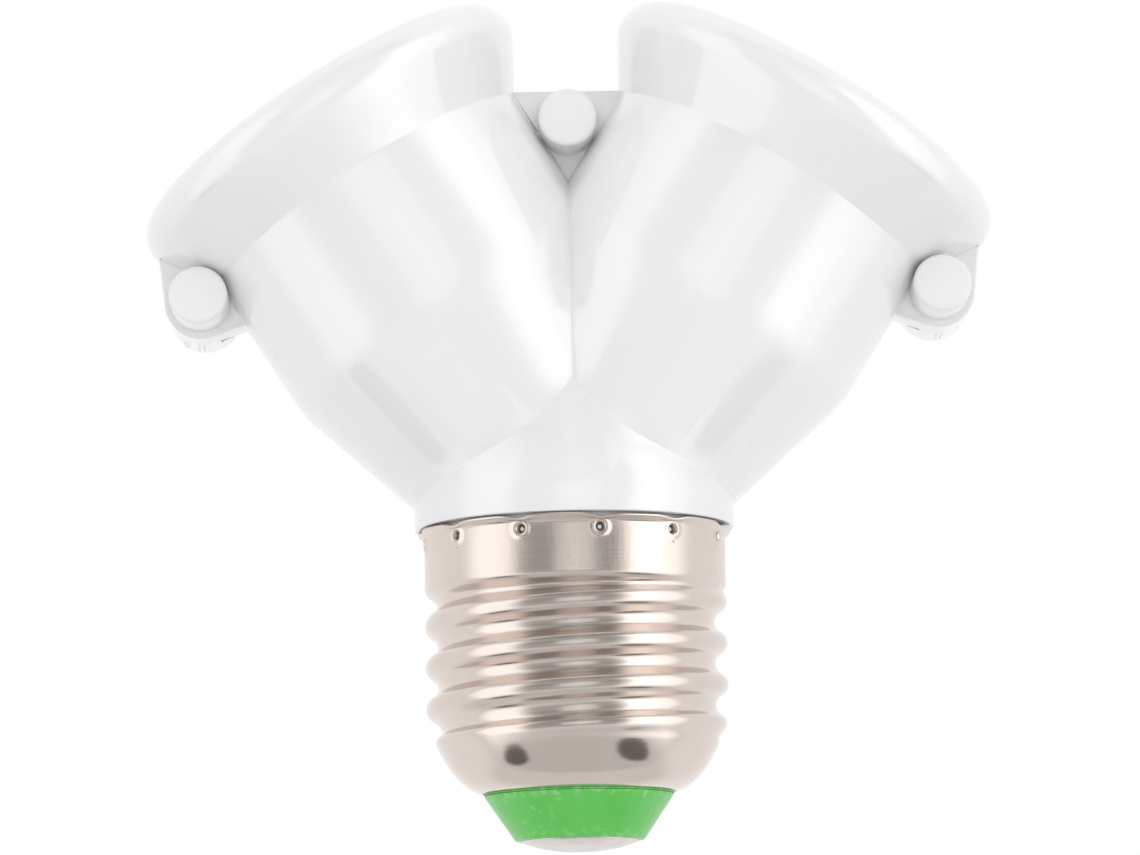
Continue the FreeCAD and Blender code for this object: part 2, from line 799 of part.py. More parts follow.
def neutral_route(side):
    """Centre line of a neutral lead's insulation, from the sleeve's tab to the cap's wall."""
    neck_route_radius = hollow_radius(neck_route_distance) - lead_radius - lead_wall_gap
    route = [
        socket_point(side, tab_strand_radius, 0, tab_end - hole_clearance),
        socket_point(side, tab_strand_radius, 0, tab_end - tab_route_drop),
        socket_point(side, neck_route_radius, 0, neck_route_distance),
    ]
    for x, z in (
        (inner_spigot_bore - 2 * lead_radius, inner_spigot_foot + 2 * lead_wall_gap),
        (cap_wall_inside - wall_route_gap, inner_spigot_foot - foot_route_drop),
    ):
        route.append(Vector(side * x, 0, z))
    return route


def make_neutral_lead(side):
    """Insulated lead with bare strands along the sleeve's tab and at the cap's wall."""
    route = neutral_route(side)
    insulation = tube(route, lead_radius)
    bare_start = strand(route[0], (route[0] - route[1]).normalize(), solder_length + solder_gap)
    bare_end = strand(route[-1], (route[-1] - route[-2]).normalize(), solder_length)
    return insulation.fuse([bare_start, bare_end]).removeSplitter()


def make_solder(cap, sleeves, leads):
    """Four solder joints: each neutral lead on its sleeve's tab and on the cap's inner wall."""
    joints = []
    for side, sleeve, lead in zip((1, -1), sleeves, leads):
        foot = Vector(tab_strand_radius, 0, tab_end + solder_gap)
        at_tab = Part.makeCone(solder_radius, solder_radius / 2, solder_length, foot, Vector(0, 0, 1))
        toward = Vector(side, 0, 0)
        lead_end = neutral_route(side)[-1]
        start = Vector(lead_end.x, 0, lead_end.z - solder_length)
        reach = cap_wall_inside + cap_sheet / 2 - abs(lead_end.x)
        at_cap = Part.makeCone(solder_radius / 2, solder_radius, reach, start, toward)
        for blob in (on_socket(at_tab, side), at_cap):
            blob = blob.cut(lead).cut(sleeve).cut(cap)
            joints.append(max(blob.Solids, key=lambda s: s.Volume))
    return Part.makeCompound(joints)


parts = {}
front_shell, rear_shell = make_shells()
parts["front_shell"] = front_shell
parts["rear_shell"] = rear_shell
parts["housing_screws"] = make_screws()
parts["screw_cap"] = make_screw_cap()
parts["cap_insulator"] = make_insulator()
parts["centre_contact"] = make_centre_contact()
parts["lead_ferrule"] = make_ferrule()
for side, word in ((-1, "left_"), (1, "right_")):
    parts[word + "socket_sleeve"] = on_socket(make_sleeve(), side)
    parts[word + "contact_carrier"] = on_socket(make_cup(), side)
    parts[word + "contact_leaf"] = on_socket(make_leaf(), side)
    parts[word + "leaf_rivet"] = on_socket(make_leaf_rivet(), side)
    parts[word + "live_lead"] = make_live_lead(side)
    parts[word + "neutral_lead"] = make_neutral_lead(side)
parts["solder_joints"] = make_solder(
    parts["screw_cap"],
    [parts["right_socket_sleeve"], parts["left_socket_sleeve"]],
    [parts["right_neutral_lead"], parts["left_neutral_lead"]],
)

os.makedirs("parts", exist_ok=True)
for name, shape in parts.items():
    shape.exportStep("parts/" + name + ".step")
    print(name, len(shape.Solids), shape.isValid(), round(shape.Volume, 2))

hinge = socket_point(1, -leaf_bend_distance, 0, floor_top + leaf_thickness / 2 + leaf_bend_radius)
print("right leaf hinge", [round(v, 4) for v in hinge])
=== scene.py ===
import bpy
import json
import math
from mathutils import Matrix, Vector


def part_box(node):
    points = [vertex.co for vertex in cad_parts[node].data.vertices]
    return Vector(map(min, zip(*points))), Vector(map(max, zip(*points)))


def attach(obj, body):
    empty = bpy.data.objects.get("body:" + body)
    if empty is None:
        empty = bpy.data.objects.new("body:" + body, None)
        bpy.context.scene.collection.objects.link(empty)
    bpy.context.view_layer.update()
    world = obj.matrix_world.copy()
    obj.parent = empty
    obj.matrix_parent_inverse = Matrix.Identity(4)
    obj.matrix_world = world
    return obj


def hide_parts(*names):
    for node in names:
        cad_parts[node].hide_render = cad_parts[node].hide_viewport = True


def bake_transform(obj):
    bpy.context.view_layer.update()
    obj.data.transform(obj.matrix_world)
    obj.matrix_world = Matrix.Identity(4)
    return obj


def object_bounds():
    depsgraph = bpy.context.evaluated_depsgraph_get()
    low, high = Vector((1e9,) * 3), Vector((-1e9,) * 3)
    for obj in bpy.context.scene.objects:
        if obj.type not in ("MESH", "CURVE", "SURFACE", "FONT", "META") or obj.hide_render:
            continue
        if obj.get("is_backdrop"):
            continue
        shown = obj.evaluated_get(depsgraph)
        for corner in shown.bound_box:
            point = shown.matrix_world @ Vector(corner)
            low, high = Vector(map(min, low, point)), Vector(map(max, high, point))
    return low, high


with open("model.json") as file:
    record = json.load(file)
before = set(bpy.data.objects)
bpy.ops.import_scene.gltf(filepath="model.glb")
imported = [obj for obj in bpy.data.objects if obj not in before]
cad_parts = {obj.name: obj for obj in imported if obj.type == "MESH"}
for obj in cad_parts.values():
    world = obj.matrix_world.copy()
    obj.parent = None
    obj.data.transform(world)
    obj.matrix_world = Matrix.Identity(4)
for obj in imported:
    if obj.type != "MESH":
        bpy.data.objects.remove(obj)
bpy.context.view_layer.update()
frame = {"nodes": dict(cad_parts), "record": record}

# %% [markdown]
# A lamp socket splitter: a Y-shaped body of white moulded plastic in a front and a rear half, a
# rolled metal screw cap below it, a green insulating ring and a domed contact at the very bottom.
# The two sockets hide a threaded sleeve, an insulating cup and a spring leaf each.
#
# The CAD model gives every size. This file dresses it: it finds where things are from the frame,
# builds the forms that the CAD model keeps plain, and gives each surface a finish made of shader
# nodes.

MM = 0.001

# %% [markdown]
# A finish is easier to read as a sentence of maths than as a web of nodes. This small class wraps
# one number socket, so that `1 - mask * 0.3` adds its own Math nodes. Colours go through Mix nodes
# instead, because a Math node would turn them grey.

# %% Shader numbers that can be added and multiplied
class Number:
    def __init__(self, nodes, socket):
        self.nodes = nodes
        self.socket = socket

    def maths(self, operation, *values):
        settings = {"operation": operation}
        made = self.nodes.node("ShaderNodeMath", settings, dict(enumerate(values)))
        return Number(self.nodes, made.outputs[0])

    def __add__(self, other):
        return self.maths("ADD", self, other)

    def __sub__(self, other):
        return self.maths("SUBTRACT", self, other)

    def __rsub__(self, other):
        return self.maths("SUBTRACT", other, self)

    def __mul__(self, other):
        return self.maths("MULTIPLY", self, other)

    def __truediv__(self, other):
        return self.maths("DIVIDE", self, other)

    def __abs__(self):
        return self.maths("ABSOLUTE", self)

    __radd__ = __add__
    __rmul__ = __mul__

    def root(self):
        return self.maths("SQRT", self)

    def wrapped(self, span):
        """The value counted round and round between 0 and span."""
        return self.maths("WRAP", self, span, 0.0)

    def steps(self, low, high):
        """0 below low, 1 above high and an even rise between them."""
        rise = (self - low) / (high - low)
        rise.socket.node.use_clamp = True
        return rise

    def within(self, low, high, soft):
        """1 between low and high, 0 outside, with soft edges."""
        return self.steps(low - soft, low + soft) * (1 - self.steps(high - soft, high + soft))


# %% [markdown]
# Materials and the studio's air are both node trees, so one class adds nodes to either of them: a
# node's type, its settings first, and then the values or links of its inputs.

# %% Adding nodes to a tree
class Nodes:
    def __init__(self, tree):
        self.tree = tree

    def node(self, kind, settings=None, inputs=None):
        made = self.tree.nodes.new(kind)
        for key, value in (settings or {}).items():
            setattr(made, key, value)
        for key, value in (inputs or {}).items():
            self.feed(made.inputs[key], value)
        return made

    def feed(self, socket, value):
        if isinstance(value, Number):
            value = value.socket
        if isinstance(value, bpy.types.NodeSocket):
            self.tree.links.new(value, socket)
        else:
            socket.default_value = value

    def split(self, vector):
        made = self.node("ShaderNodeSeparateXYZ", {}, {0: vector})
        return [Number(self, output) for output in made.outputs]


# %% [markdown]
# Every finish starts from one Principled shader. Values that are the same all over are set on the
# shader itself, and only what changes over the surface comes through a link.

# %% A finish under construction
def linear(red, green, blue):
    """A colour as a paint program shows it, 0 to 255, in the linear values that light works in."""
    def one(value):
        value = value / 255
        return value / 12.92 if value <= 0.04045 else ((value + 0.055) / 1.055) ** 2.4
    return (one(red), one(green), one(blue), 1.0)


class Finish(Nodes):
    def __init__(self, name, **shader_values):
        self.material = bpy.data.materials.new(name)
        self.material.use_nodes = True
        super().__init__(self.material.node_tree)
        self.shader = self.tree.nodes["Principled BSDF"]
        for socket, value in shader_values.items():
            self.shader.inputs[socket.replace("_", " ")].default_value = value
        self.place = self.node("ShaderNodeTexCoord").outputs["Object"]
        self.x, self.y, self.z = self.split(self.place)

    def noise(self, size, detail=2.0, stretch=(1, 1, 1), rough=0.5):
        """Soft random mottling, with patches of about this size in metres."""
        scale = tuple(1 / (size * s) for s in stretch)
        moved = self.node("ShaderNodeMapping", {}, {"Vector": self.place, "Scale": scale})
        made = self.node("ShaderNodeTexNoise", {}, {
            "Vector": moved.outputs[0], "Scale": 1.0, "Detail": detail, "Roughness": rough,
        })
        return Number(self, made.outputs["Fac"])

    def specks(self, spacing, size):
        """1 in small scattered dots, 0 between them."""
        moved = self.node("ShaderNodeMapping", {}, {
            "Vector": self.place, "Scale": (1 / spacing,) * 3,
        })
        made = self.node("ShaderNodeTexVoronoi", {}, {"Vector": moved.outputs[0], "Scale": 1.0})
        reach = size / spacing
        return 1 - Number(self, made.outputs["Distance"]).steps(reach * 0.6, reach)

    def mix(self, amount, first, second):
        made = self.node("ShaderNodeMix", {"data_type": "RGBA"}, {0: amount, 6: first, 7: second})
        return made.outputs[2]

    def bump(self, height, strength, distance):
        made = self.node("ShaderNodeBump", {}, {
            "Height": height, "Strength": strength, "Distance": distance,
        })
        self.feed(self.shader.inputs["Normal"], made.outputs[0])

    def colour(self, value):
        self.feed(self.shader.inputs["Base Color"], value)

    def roughness(self, value):
        self.feed(self.shader.inputs["Roughness"], value)


# %% [markdown]
# The body is moulded in a white plastic with a soft gloss. Its colour is nearly even, so the
# finish only adds a faint mottling, a few dust specks and the slightest waviness, which bends the
# edges of its reflections as on any moulding. The round faces of the front bosses are duller, with
# the faint rings of the ejector pins. A face is found by two things together: its distance from
# the middle of a boss, and how far it stands out to the front.

# %% White moulded plastic
boss_radius = 2.6 * MM
pin_ring_radius = 1.1 * MM
pin_dot_radius = 0.12 * MM


def white_plastic(name, boss_places, boss_face):
    finish = Finish(name, Coat_Roughness=0.03, Coat_IOR=1.8)
    cloud = finish.noise(0.02, 3.0)
    dust = finish.specks(0.0035, 0.00009)
    grime = finish.specks(0.009, 0.00016)
    plain = finish.mix(cloud, linear(236, 236, 236), linear(240, 240, 240))
    dusty = finish.mix(dust * 0.3, plain, linear(196, 192, 184))
    finish.colour(finish.mix(grime * 0.5, dusty, linear(150, 146, 138)))
    near = 0
    rings = 0
    soft = 0.1 * MM
    for x, z in boss_places:
        across, above = finish.x - x, finish.z - z
        away = (across * across + above * above).root()
        near = near + (1 - away.steps(boss_radius - soft, boss_radius + soft))
        rings = rings + away.within(pin_ring_radius - soft, pin_ring_radius + soft, soft)
        rings = rings + away.within(-1 * MM, pin_dot_radius, 0.08 * MM)
    face = near * (1 - finish.y.steps(boss_face + 0.05 * MM, boss_face + 0.3 * MM))
    grain = finish.noise(0.0004, 2.0)
    finish.feed(finish.shader.inputs["Coat Weight"], 1 - face * 0.85)
    finish.roughness(0.32 + cloud * 0.08 + face * (0.15 + grain * 0.1))
    waves = finish.noise(0.008, 2.0) * 0.5
    finish.bump(waves - face * rings * 0.12 + face * grain * 0.08, 0.25, 0.00025)
    return finish.material


# %% [markdown]
# The cap is drawn sheet with a thin nickel plating. Above the thread it is satin, with fine
# scratches that run up and round it, and lower down it is polished where the tool closed the
# shoulder. Soot and a painted shade darken the punched pits: their colour is painted dark where
# shade falls in the hollows. Their places follow from an angle round the cap, which the material
# works out from Object coordinates, so that the pits of the mesh and of the finish fall together.

# %% Nickel-plated sheet
dimples = 12
dimple_turn = math.radians(9)
dimple_height = 2.3 * MM
dimple_radius = 0.34 * MM
collar_radius = 13.15 * MM
satin_from, satin_full = -2.2 * MM, -0.8 * MM
polished_full, polished_from = -14.8 * MM, -13.6 * MM
print("punched pits:", dimples, "on a radius of", round(collar_radius / MM, 2), "mm")


def nickel_plate(name, colour, darker):
    finish = Finish(name, Metallic=1.0)
    upright = finish.noise(0.00022, 2.0, stretch=(1, 1, 12))
    level = finish.noise(0.00025, 2.0, stretch=(14, 14, 0.6))
    cloud = finish.noise(0.005, 3.0)
    grain = finish.noise(0.00012, 2.0)
    shoulder = 1 - finish.z.steps(polished_full, polished_from)
    collar = finish.z.steps(satin_from, satin_full)
    tone = finish.mix(cloud, colour, darker)
    turn = finish.y.maths("ARCTAN2", finish.y, finish.x)
    spacing = 2 * math.pi / dimples
    nearest = (turn + (math.pi / 2 - dimple_turn + spacing / 2)).wrapped(spacing) - spacing / 2
    aside = nearest * collar_radius
    above = finish.z - dimple_height
    away = (aside * aside + above * above).root()
    pit = 1 - away.steps(0.2 * MM, 0.4 * MM)
    # The pits' colour is painted dark: soot, and painted shade in the hollows.
    finish.colour(finish.mix(pit * 0.9, tone, linear(44, 38, 35)))
    scratched = 0.25 + collar * 0.75
    satin = ((upright - 0.5) * 0.16 + (level - 0.5) * 0.12 + (grain - 0.5) * 0.2) * scratched
    finish.roughness(0.18 - shoulder * 0.08 + collar * 0.04 + satin + pit * 0.3)
    finish.bump((upright * 0.5 + level * 0.6 + grain * 0.5) * scratched, 0.22, 0.00002)
    return finish.material


# %% [markdown]
# The ring under the cap is a glossy green moulding. Handling leaves small pale scuffs, most of
# them along its upper edge and near the contact.

# %% Green insulating plastic
worn_band = 0.9 * MM


def green_plastic(top, foot):
    finish = Finish("green insulating plastic", Coat_Weight=0.2, Coat_Roughness=0.2)
    cloud = finish.noise(0.004, 3.0)
    upper = finish.z.steps(top - worn_band, top - 0.1 * MM)
    lower = 1 - finish.z.steps(foot, foot + worn_band)
    handled = finish.noise(0.004, 2.0).steps(0.42, 0.55)
    scuffs = finish.noise(0.0009, 4.0).steps(0.6, 0.68) * handled
    edge = finish.noise(0.0006, 4.0).steps(0.52, 0.62) * (upper + lower * 0.8)
    scuffed = (scuffs * 0.35 + edge * 0.4).steps(0.0, 1.0)
    plain = finish.mix(cloud, linear(88, 192, 76), linear(100, 203, 90))
    finish.colour(finish.mix(scuffed, plain, linear(182, 224, 172)))
    finish.roughness(0.36 + scuffed * 0.25)
    finish.bump(finish.noise(0.0012, 3.0), 0.12, 0.00008)
    return finish.material


# %% [markdown]
# What is hidden inside needs only two plain finishes: a soft plastic for the cups and the leads'
# sleeving, and a metal for sleeves, leaves, screws and solder. Mottling in the colour and in the
# gloss keeps them from looking painted.

# %% Plain plastics and inner metal
def soft_plastic(name, colour, darker, roughness=0.5):
    finish = Finish(name)
    cloud = finish.noise(0.003, 3.0)
    finish.colour(finish.mix(cloud, colour, darker))
    finish.roughness(roughness + (cloud - 0.5) * 0.15)
    finish.bump(finish.noise(0.0006, 3.0), 0.15, 0.00005)
    return finish.material


def inner_metal(name, colour, darker, roughness):
    finish = Finish(name, Metallic=1.0)
    cloud = finish.noise(0.0015, 4.0)
    finish.colour(finish.mix(cloud, colour, darker))
    finish.roughness(roughness + (cloud - 0.5) * 0.2)
    finish.bump(finish.noise(0.0003, 3.0), 0.2, 0.00002)
    return finish.material


# %% [markdown]
# The copy of a CAD node is a cloud of loose triangles. Merged, it becomes a closed skin that can
# be smoothed. `merged_copy` makes one. The copy of the screws, separated into its loose parts,
# also tells where each screw stands, and with it where the bosses are.

# %% Copies of CAD nodes
def take(piece):
    """Makes one piece the only selected and active one."""
    bpy.ops.object.select_all(action="DESELECT")
    piece.select_set(True)
    bpy.context.view_layer.objects.active = piece


def merged_copy(node, name):
    piece = bpy.data.objects.new(name, frame["nodes"][node].data.copy())
    bpy.context.collection.objects.link(piece)
    take(piece)
    bpy.ops.object.mode_set(mode="EDIT")
    bpy.ops.mesh.select_all(action="SELECT")
    bpy.ops.mesh.remove_doubles(threshold=0.002 * MM)
    bpy.ops.object.mode_set(mode="OBJECT")
    return piece


def corners(piece):
    """Lowest and highest corner of a piece's mesh."""
    points = [vertex.co for vertex in piece.data.vertices]
    return [Vector([pick(p[i] for p in points) for i in range(3)]) for pick in (min, max)]


merged_copy("housing_screws", "screw_copy")
bpy.ops.object.mode_set(mode="EDIT")
bpy.ops.mesh.separate(type="LOOSE")
bpy.ops.object.mode_set(mode="OBJECT")
screw_places = []
for piece in list(bpy.context.selected_objects):
    low, high = corners(piece)
    screw_places.append(((low.x + high.x) / 2, (low.z + high.z) / 2))
    bpy.data.objects.remove(piece)
boss_face = -6.05 * MM
print("bosses at", [(round(x / MM, 2), round(z / MM, 2)) for x, z in screw_places])

# %% [markdown]
# The record says which finish each CAD node wears. The finishes are made once and given out by
# these names. The colours are written as a paint program shows them. Those that show were judged
# against the photograph.

# %% Finishes by the record's material slots
ring_low, ring_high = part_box("cap_insulator")
cap_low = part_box("screw_cap")[0]
slots = {
    "white_housing": white_plastic("white moulded plastic", screw_places, boss_face),
    "cap_metal": nickel_plate(
        "nickel-plated cap", linear(219, 208, 201), linear(209, 197, 189)),
    "green_insulator": green_plastic(cap_low.z, ring_low.z),
    "contact_metal": inner_metal(
        "tinned contact", linear(232, 227, 222), linear(220, 212, 205), 0.36),
    "sleeve_metal": inner_metal(
        "plated sleeve", linear(226, 218, 206), linear(206, 196, 182), 0.3),
    "leaf_bronze": inner_metal(
        "bronze strip", linear(214, 172, 110), linear(190, 146, 88), 0.32),
    "screw_steel": inner_metal(
        "zinc-plated steel", linear(196, 198, 202), linear(170, 172, 178), 0.35),
    "solder": inner_metal(
        "solder", linear(188, 190, 194), linear(160, 162, 168), 0.45),
    "carrier_plastic": soft_plastic(
        "pale moulded insulation", linear(224, 222, 214), linear(214, 211, 202)),
    "live_insulation": soft_plastic(
        "brown sleeving", linear(96, 56, 34), linear(80, 44, 26), 0.4),
    "neutral_insulation": soft_plastic(
        "blue sleeving", linear(38, 84, 158), linear(28, 68, 138), 0.4),
}
slot_of = {part["node"]: part["material_slot"] for part in frame["record"]["subparts"]}
for name, node in frame["nodes"].items():
    node.data.materials.clear()
    node.data.materials.append(slots[slot_of[name]])
print("finishes:", len(slots))


def dress(piece, node, body="holder"):
    """Gives a piece its material and the body that carries it, and hides the CAD node it stands for.
    """
    piece.data.materials.clear()
    piece.data.materials.append(slots[slot_of[node]])
    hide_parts(node)
    if body:
        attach(piece, body)
    print(piece.name, "faces:", len(piece.data.polygons))


# %% [markdown]
# The two halves of the body keep the CAD model's form. What a mould adds is a tiny rounding on
# every edge, which draws the fine bright lines where a surface turns. The sharp edges of the
# merged copy are selected by their angle and bevelled. The edges of the parting plane, where the
# two halves meet face to face, stay sharp, so that no groove opens along the outline. So do the
# edges of the rear half's outer bosses, where a boss meets its web in edges too short to bevel.
# Smooth shading does the rest.

# %% Edges eased as a mould eases them
smooth_under = math.radians(35)
parting_reach = 0.02 * MM
outer_boss_from, outer_boss_top = 25 * MM, 30 * MM


def stays_sharp(piece, edge):
    """True on the parting plane and at the outer bosses of the rear half."""
    ends = [piece.data.vertices[i].co for i in edge.vertices]
    middle = sum(ends, Vector()) / 2
    at_rear_boss = middle.y > 0 and abs(middle.x) > outer_boss_from and middle.z < outer_boss_top
    return at_rear_boss or max(abs(end.y) for end in ends) < parting_reach


def eased_copy(node, name, width, sharp=28, parting=False):
    piece = merged_copy(node, name)
    bpy.ops.object.mode_set(mode="EDIT")
    bpy.ops.mesh.dissolve_limited(angle_limit=math.radians(0.3))
    bpy.ops.mesh.select_mode(type="EDGE")
    bpy.ops.mesh.select_all(action="DESELECT")
    bpy.ops.mesh.edges_select_sharp(sharpness=math.radians(sharp))
    bpy.ops.object.mode_set(mode="OBJECT")
    for edge in piece.data.edges:
        if parting and stays_sharp(piece, edge):
            edge.select = False
    bpy.ops.object.mode_set(mode="EDIT")
    bpy.ops.mesh.bevel(offset=width, segments=2, miter_outer="ARC")
    bpy.ops.object.mode_set(mode="OBJECT")
    bpy.ops.object.shade_smooth_by_angle(angle=smooth_under)
    return piece


for node in ("front_shell", "rear_shell"):
    moulding = eased_copy(node, node.replace("shell", "moulding"), 0.12 * MM, parting=True)
    dress(moulding, node)

# %% [markdown]
# The cap's thread is a rounded, rolled one: crest and root are arcs of the same radius that meet
# in the middle of each flank. A turned profile can only give separate rings, so the wall is made
# as a flat grid, which a formula rolls into a tube whose radius follows the helix.

# %% Sizes of the rolled thread
pitch = 3.629 * MM
thread_depth = 1.1 * MM
knuckle_radius = 1.025 * MM
print("thread pitch", round(pitch / MM, 3), "mm, depth", round(thread_depth / MM, 2), "mm")


def smooth_step(value, low, high):
    part = min(1.0, max(0.0, (value - low) / (high - low)))
    return part * part * (3 - 2 * part)


def knuckle_depth(offset):
    """How far the wall lies inside the crest, at this height from the middle of a groove."""
    offset = abs((offset + pitch / 2) % pitch - pitch / 2)
    if offset < pitch / 4:
        return thread_depth - knuckle_radius + math.sqrt(knuckle_radius ** 2 - offset ** 2)
    return knuckle_radius - math.sqrt(knuckle_radius ** 2 - (pitch / 2 - offset) ** 2)


# %% [markdown]
# The grid's one side becomes the way round, and its other side the way along a profile. Every ring
# lies at its share of the profile's whole length, so the rings stay evenly spaced round the bends.
# After rolling, the first and the last column meet and are merged, and all faces are turned
# outwards.

# %% Rolling a grid into a turned wall
def along_line(points, part):
    """The point at this share of a line's whole length."""
    steps = [math.dist(a, b) for a, b in zip(points[:-1], points[1:])]
    left = part * sum(steps)
    for start, end, step in zip(points[:-1], points[1:], steps):
        if left <= step or end is points[-1]:
            share = min(1.0, left / step)
            return [a + (b - a) * share for a, b in zip(start, end)]
        left -= step


def rolled_wall(name, profile, around, along, shape_point):
    """A closed tube whose rings follow a profile, each point then moved by a formula."""
    bpy.ops.object.select_all(action="DESELECT")
    bpy.ops.mesh.primitive_grid_add(x_subdivisions=around, y_subdivisions=along, size=1)
    wall = bpy.context.active_object
    wall.name = wall.data.name = name
    rings = {}
    for vertex in wall.data.vertices:
        share = round(vertex.co.y + 0.5, 5)
        if share not in rings:
            rings[share] = along_line(profile, share)
        radius, height = (v * MM for v in rings[share])
        angle = (vertex.co.x + 0.5) * 2 * math.pi
        radius, height = shape_point(angle, radius, height)
        vertex.co = (radius * math.cos(angle), radius * math.sin(angle), height)
    close_up(wall)
    return wall


def close_up(piece):
    """Merges what meets, drops what is loose and turns every face outwards."""
    take(piece)
    bpy.ops.object.mode_set(mode="EDIT")
    bpy.ops.mesh.select_all(action="SELECT")
    bpy.ops.mesh.remove_doubles(threshold=0.001 * MM)
    bpy.ops.mesh.dissolve_degenerate(threshold=0.0005 * MM)
    bpy.ops.mesh.delete_loose()
    bpy.ops.mesh.select_all(action="SELECT")
    bpy.ops.mesh.normals_make_consistent(inside=False)
    bpy.ops.object.mode_set(mode="OBJECT")


def joined(name, *pieces):
    bpy.ops.object.select_all(action="DESELECT")
    for piece in pieces:
        piece.select_set(True)
    bpy.context.view_layer.objects.active = pieces[0]
    bpy.ops.object.join()
    pieces[0].name = pieces[0].data.name = name
    return pieces[0]


def thicken(piece, sheet, side):
    """Gives a wall its sheet thickness, inwards (-1) or outwards (1)."""
    take(piece)
    wall = piece.modifiers.new("sheet", "SOLIDIFY")
    wall.thickness = sheet
    wall.offset = side
    bpy.ops.object.modifier_apply(modifier=wall.name)


# %% [markdown]
# The cap is rolled in two grids. The crimp band with its twelve punched pits needs twice as many
# points round it as the thread does. So the top edge of the thread's wall is subdivided once, and
# the two walls weld point to point.

# %% Wall of the screw cap
first_groove = -2.93 * MM
crimp_foot = 1.25
cap_sheet = 0.25 * MM
thread_from, thread_full = -1.4 * MM, -2.8 * MM
thread_fades, thread_ends = -13.8 * MM, -15.5 * MM
pit_depth, pinch_depth = 0.42 * MM, 0.16 * MM
bulge, bulge_at, bulge_width = 0.11 * MM, 0.62 * MM, 0.2 * MM
rim_drop, pinch_drop, pinch_width = 0.14 * MM, 0.24 * MM, 1.1 * MM


def cap_point(angle, radius, height):
    groove = first_groove + pitch * (angle + math.pi) / (2 * math.pi)
    fade = smooth_step(-height, -thread_from, -thread_full)
    fade *= smooth_step(height, thread_ends, thread_fades)
    return radius - knuckle_depth(height - groove) * fade, height


def dimple_point(angle, radius, height):
    spacing = 2 * math.pi / dimples
    nearest = (angle + math.pi / 2 - dimple_turn + spacing / 2) % spacing - spacing / 2
    away = math.hypot(nearest * radius, height - dimple_height)
    pit = pit_depth * math.exp(-(away / dimple_radius) ** 4)
    ring = bulge * math.exp(-((away - bulge_at) / bulge_width) ** 2)
    above = max(0.0, height - dimple_height)
    pinch = math.exp(-(nearest * radius / pinch_width) ** 2)
    pinch *= smooth_step(above, 0.3 * MM, 1.0 * MM)
    edge = smooth_step(height, 2.6 * MM, 3.5 * MM)
    wave = 0.04 * MM * math.sin(5 * angle + 1) + 0.03 * MM * math.sin(9 * angle)
    drop = edge * (rim_drop + pinch_drop * pinch + wave)
    return radius - pit + ring - pinch_depth * pinch, height - drop


lower_profile = [
    (8.45, -19.45), (8.6, -19.4), (9.1, -19.2), (9.62, -18.9), (10.02, -18.6), (10.45, -18.2),
    (10.8, -17.8), (11.1, -17.4), (11.43, -16.9), (11.73, -16.4), (12.01, -15.9), (12.27, -15.4),
    (12.51, -14.9), (12.73, -14.4), (12.93, -13.9), (13.09, -13.4), (13.18, -12.9),
    (13.18, -2.6), (13.15, -1.4), (13.15, crimp_foot),
]
band_profile = [
    (13.15, crimp_foot), (13.15, 1.6), (13.16, 1.9), (13.17, 2.5), (13.22, 2.8), (13.36, 3.08),
    (13.56, 3.28), (13.68, 3.42), (13.72, 3.53), (13.68, 3.6),
]
thread_wall = rolled_wall("thread_wall", lower_profile, 320, 104, cap_point)
bpy.ops.object.mode_set(mode="EDIT")
bpy.ops.mesh.select_all(action="DESELECT")
bpy.ops.object.mode_set(mode="OBJECT")
top_edge_above = crimp_foot * MM - 0.0001 * MM
for edge in thread_wall.data.edges:
    ends = [thread_wall.data.vertices[i].co.z for i in edge.vertices]
    edge.select = min(ends) > top_edge_above
bpy.ops.object.mode_set(mode="EDIT")
bpy.ops.mesh.subdivide(number_cuts=1)
bpy.ops.object.mode_set(mode="OBJECT")
for vertex in thread_wall.data.vertices:
    if vertex.co.z > top_edge_above:
        vertex.co.xy = vertex.co.xy.normalized() * collar_radius
crimp_wall = rolled_wall("crimp_wall", band_profile, 640, 21, dimple_point)
cap_wall = joined("screw_cap_wall", thread_wall, crimp_wall)
close_up(cap_wall)
thicken(cap_wall, cap_sheet, -1)
bpy.ops.object.shade_smooth()
dress(cap_wall, "screw_cap")

# %% [markdown]
# Everything round is turned from its section, as on a lathe: a circle with as many points as the
# section has, each point moved to its place, and then the spin tool about the upright axis.
# Corners get their rounding in the section itself.

# %% Turning a section
def eased(section, steps=4):
    """Points along a closed section of (radius, height, rounding) corners, each made a curve."""
    points = []
    for i, (radius, height, rounding) in enumerate(section):
        here = Vector((radius, height))
        before = Vector(section[i - 1][:2]) - here
        after = Vector(section[(i + 1) % len(section)][:2]) - here
        if not rounding:
            points.append(tuple(here))
            continue
        reach = rounding / math.tan(before.angle(after) / 2)
        start, end = here + before.normalized() * reach, here + after.normalized() * reach
        for step in range(steps + 1):
            f = step / steps
            points.append(tuple(start * (1 - f) ** 2 + here * 2 * f * (1 - f) + end * f * f))
    return points


def turned(name, section, around=96):
    """A solid turned about Z from a closed section, in millimetres."""
    points = eased(section)
    bpy.ops.object.select_all(action="DESELECT")
    bpy.ops.mesh.primitive_circle_add(vertices=len(points), radius=1)
    piece = bpy.context.active_object
    piece.name = piece.data.name = name
    for vertex, (radius, height) in zip(piece.data.vertices, points):
        vertex.co = (radius * MM, 0, height * MM)
    bpy.ops.object.mode_set(mode="EDIT")
    bpy.ops.mesh.select_all(action="SELECT")
    bpy.ops.mesh.spin(steps=around, angle=2 * math.pi, center=(0, 0, 0), axis=(0, 0, 1))
    bpy.ops.object.mode_set(mode="OBJECT")
    close_up(piece)
    bpy.ops.object.shade_smooth_by_angle(angle=smooth_under)
    return piece


# %% [markdown]
# The green ring is a cone below the cap, and above the cap's edge it spreads again, which holds it
# in. The contact is a shallow dome of thin metal with a shank that goes up through the ring and
# takes the ferrule.

